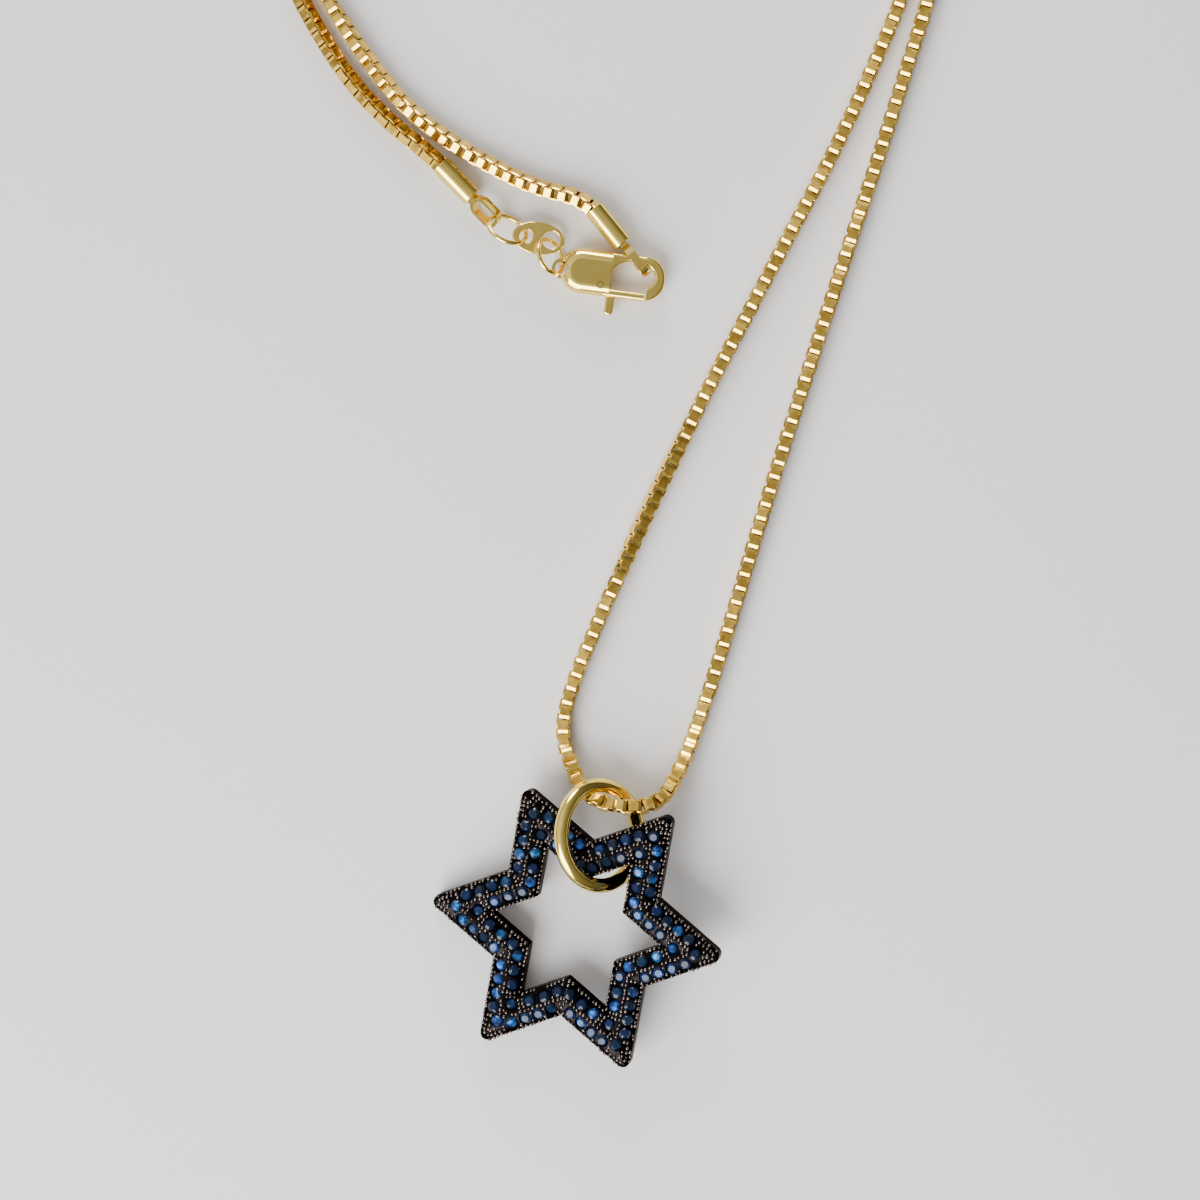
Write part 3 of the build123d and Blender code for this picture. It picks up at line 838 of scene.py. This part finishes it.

# %% [markdown]
# ### The grains on the star
#
# No two grains are the same size. Their metal is the star's, rubbed brighter by the setter's tool,
# so they get a finish of their own.

# %% The setting grains
grain_radius = 0.19
smallest_grain = 0.70     # times that radius
largest_grain = 1.12
grain_smooth = 60         # degrees, past which an edge stays sharp
grain_sizes = grain_radius * rng.uniform(smallest_grain, largest_grain, len(local_grains))
grain_axes = upright_axes(as_it_lies(local_grains_up)) * grain_sizes[:, None, None]
grain_points = copies(grain, as_it_lies(local_grains) + star_centre, grain_axes) * MM
grain_piece = make_piece("setting_grains", grain_points,
                         repeat_faces(grain_faces, len(grain), len(grain_sizes)), grain_smooth)
grain_piece.data.materials.append(grain_metal)
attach(grain_piece, "root")
print("grain radius mm", round(grain_sizes.min(), 3), "to", round(grain_sizes.max(), 3))

# %% [markdown]
# ## The bail ring
#
# The bail ring is round wire bent to a circle: a circle carried round a circle. It mirrors the
# whole room in one long highlight, where the CAD mesh's facets would show, so it is made again on
# a finer grid. It leans through the star's notch with its lower side on the surface.

# %% The bail ring
bail_radius = 4.75        # to the middle of the wire
bail_wire = 1.42          # diameter of the wire
bail_tilt = np.radians(40.0)
bail_rise = floor_gap + bail_wire / 2 + bail_radius * np.sin(bail_tilt)
bail_centre = np.array([2.22, 8.69, bail_rise])
level_line = headed(95.5)           # the level line that the ring leans about
down_line = np.array([level_line[1], -level_line[0]])
bail_slope = np.array([*(down_line * np.cos(bail_tilt)), -np.sin(bail_tilt)])
bail_normal = np.cross(bail_slope, [*level_line, 0])
bail_segments = 256
bail_sides = 48
bail_smooth = 180         # degrees, so no edge stays sharp


def ring_points(centre, normal, radius, wire):
    """A torus: from the centre, radius plus half the wire times the cosine of one angle, out along
    the ring's plane, and half the wire times that angle's sine along the normal. The other angle
    turns the outward direction round the ring."""
    first = unit(np.cross([0.2, 1.0, 0.1], normal))
    second = np.cross(normal, first)
    u = np.linspace(0, 2 * np.pi, bail_segments, endpoint=False)[:, None, None]
    v = np.linspace(0, 2 * np.pi, bail_sides, endpoint=False)[None, :, None]
    outward = np.cos(u) * first + np.sin(u) * second
    return centre + outward * (radius + wire / 2 * np.cos(v)) + normal * (wire / 2 * np.sin(v))


ring = ring_points(bail_centre, unit(bail_normal), bail_radius, bail_wire)
ring_faces = repeat_faces(grid_faces(bail_segments, bail_sides), bail_segments * bail_sides)
bail_ring = make_piece("bail_wire", ring * MM, ring_faces, bail_smooth)
bail_ring.data.materials.append(polished_gold)
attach(bail_ring, "root")
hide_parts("bail_ring")
print("ring's lowest and highest mm", round(ring[..., 2].min(), 3), round(ring[..., 2].max(), 3))

# %% [markdown]
# ## Pieces kept from the CAD
#
# The end caps, the small rings, the tag, the clasp and the star's band have the right shape in the
# CAD already, with their rims rounded there. They keep their CAD meshes and get their finishes.

# %% Finishes on CAD nodes
def finish_node(name, material):
    """One material in place of all the materials that a CAD node's mesh has."""
    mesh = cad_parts[name].data
    mesh.materials.clear()
    mesh.materials.append(material)


gold_nodes = ("end_cap_left", "end_cap_right", "jump_ring_cap", "jump_ring_clasp", "oval_tag",
              "clasp_body", "clasp_lever", "clasp_pin")
for name in gold_nodes:
    finish_node(name, polished_gold)
finish_node("star_frame", black_plate)
print("finished CAD nodes", len(gold_nodes) + 1)

# %% [markdown]
# ## Floor
#
# The object lies on a plain pale surface. It reaches 4 m to each side, so that its edge and the
# dark below it stay out of sight, and out of the gold, from low angles too.

# %% Floor
floor_reach = 4000        # from the origin to each side
paper_colour = (0.74, 0.722, 0.715, 1)
floor_mesh = bpy.data.meshes.new("floor")
floor_corners = np.array([[-1, -1, 0], [1, -1, 0], [1, 1, 0], [-1, 1, 0]]) * floor_reach * MM
floor_mesh.from_pydata(floor_corners.tolist(), [], [(0, 1, 2, 3)])
floor = bpy.data.objects.new("floor", floor_mesh)
bpy.context.scene.collection.objects.link(floor)
floor_paper, _, _, paper = new_material("floor_paper")
paper.inputs["Base Color"].default_value = paper_colour
paper.inputs["Roughness"].default_value = 0.9
floor_mesh.materials.append(floor_paper)
print("floor reach mm", floor_reach)

# %% [markdown]
# ## Sky
#
# Gold shows what is round it, so the sky matters more here than any lamp. Its colour follows the
# height: dark near the ground, bright high up, and dimmer straight above, where a camera stands and
# where flat tops look. Its strength follows the side: bright to the left and dim to the right,
# which makes one side of each link pale and the other brown.

# %% Sky
world = bpy.data.worlds.new("sky")
bpy.context.scene.world = world
world.use_nodes = True
sky, sky_links = world.node_tree.nodes, world.node_tree.links
direction = sky.new("ShaderNodeTexCoord").outputs["Generated"]
parts = sky.new("ShaderNodeSeparateXYZ")
sky_links.new(direction, parts.inputs["Vector"])
by_height = ramp_colour(sky, sky_links, parts.outputs["Z"], [
    (0.0, (0.22, 0.205, 0.19)), (1.0, (0.72, 0.71, 0.70)), (0.25, (0.55, 0.53, 0.51)),
    (0.52, (0.95, 0.935, 0.92)), (0.90, (1.15, 1.135, 1.12)), (0.962, (1.35, 1.34, 1.33)),
    (0.985, (0.86, 0.85, 0.84)),
])
towards = sky.new("ShaderNodeVectorMath")
towards.operation = "DOT_PRODUCT"
towards.inputs[1].default_value = (-1.0, 0.1, 0.0)
sky_links.new(direction, towards.inputs[0])
by_side = sky.new("ShaderNodeMapRange")
by_side.interpolation_type = "SMOOTHSTEP"
by_side.inputs["From Min"].default_value = -0.7
by_side.inputs["To Min"].default_value = 0.25
by_side.inputs["To Max"].default_value = 1.15
sky_links.new(towards.outputs["Value"], by_side.inputs["Value"])
sky_links.new(by_height, sky["Background"].inputs["Color"])
sky_links.new(by_side.outputs["Result"], sky["Background"].inputs["Strength"])
print("sky nodes", len(sky))

# %% [markdown]
# ## Lamps
#
# Two large square panels give the soft shadows. The key panel stands in front and to the left, and
# the links' shoulders mirror it as their pale bars. The top panel stands low, far behind the top of
# the picture, where only steep sides mirror it.

# %% Lamps
lamp_aim = np.array([2.2, 30.0, 0.0])


def panel(name, place, size, watts, colour=(1, 1, 1)):
    """A square area light at a place: its -Z points from there to the middle of the picture."""
    lamp = bpy.data.lights.new(name, "AREA")
    lamp.shape = "SQUARE"
    lamp.size = size * MM
    lamp.energy = watts
    lamp.color = colour
    holder = bpy.data.objects.new(name, lamp)
    holder.location = np.array(place) * MM
    holder.rotation_euler = Vector(lamp_aim - np.array(place)).to_track_quat("-Z", "Y").to_euler()
    bpy.context.scene.collection.objects.link(holder)


panel("key_panel", place=(-230, -320, 285), size=440, watts=7.6, colour=(0.97, 0.985, 1.0))
panel("top_panel", place=(-50, 650, 190), size=270, watts=4.0)
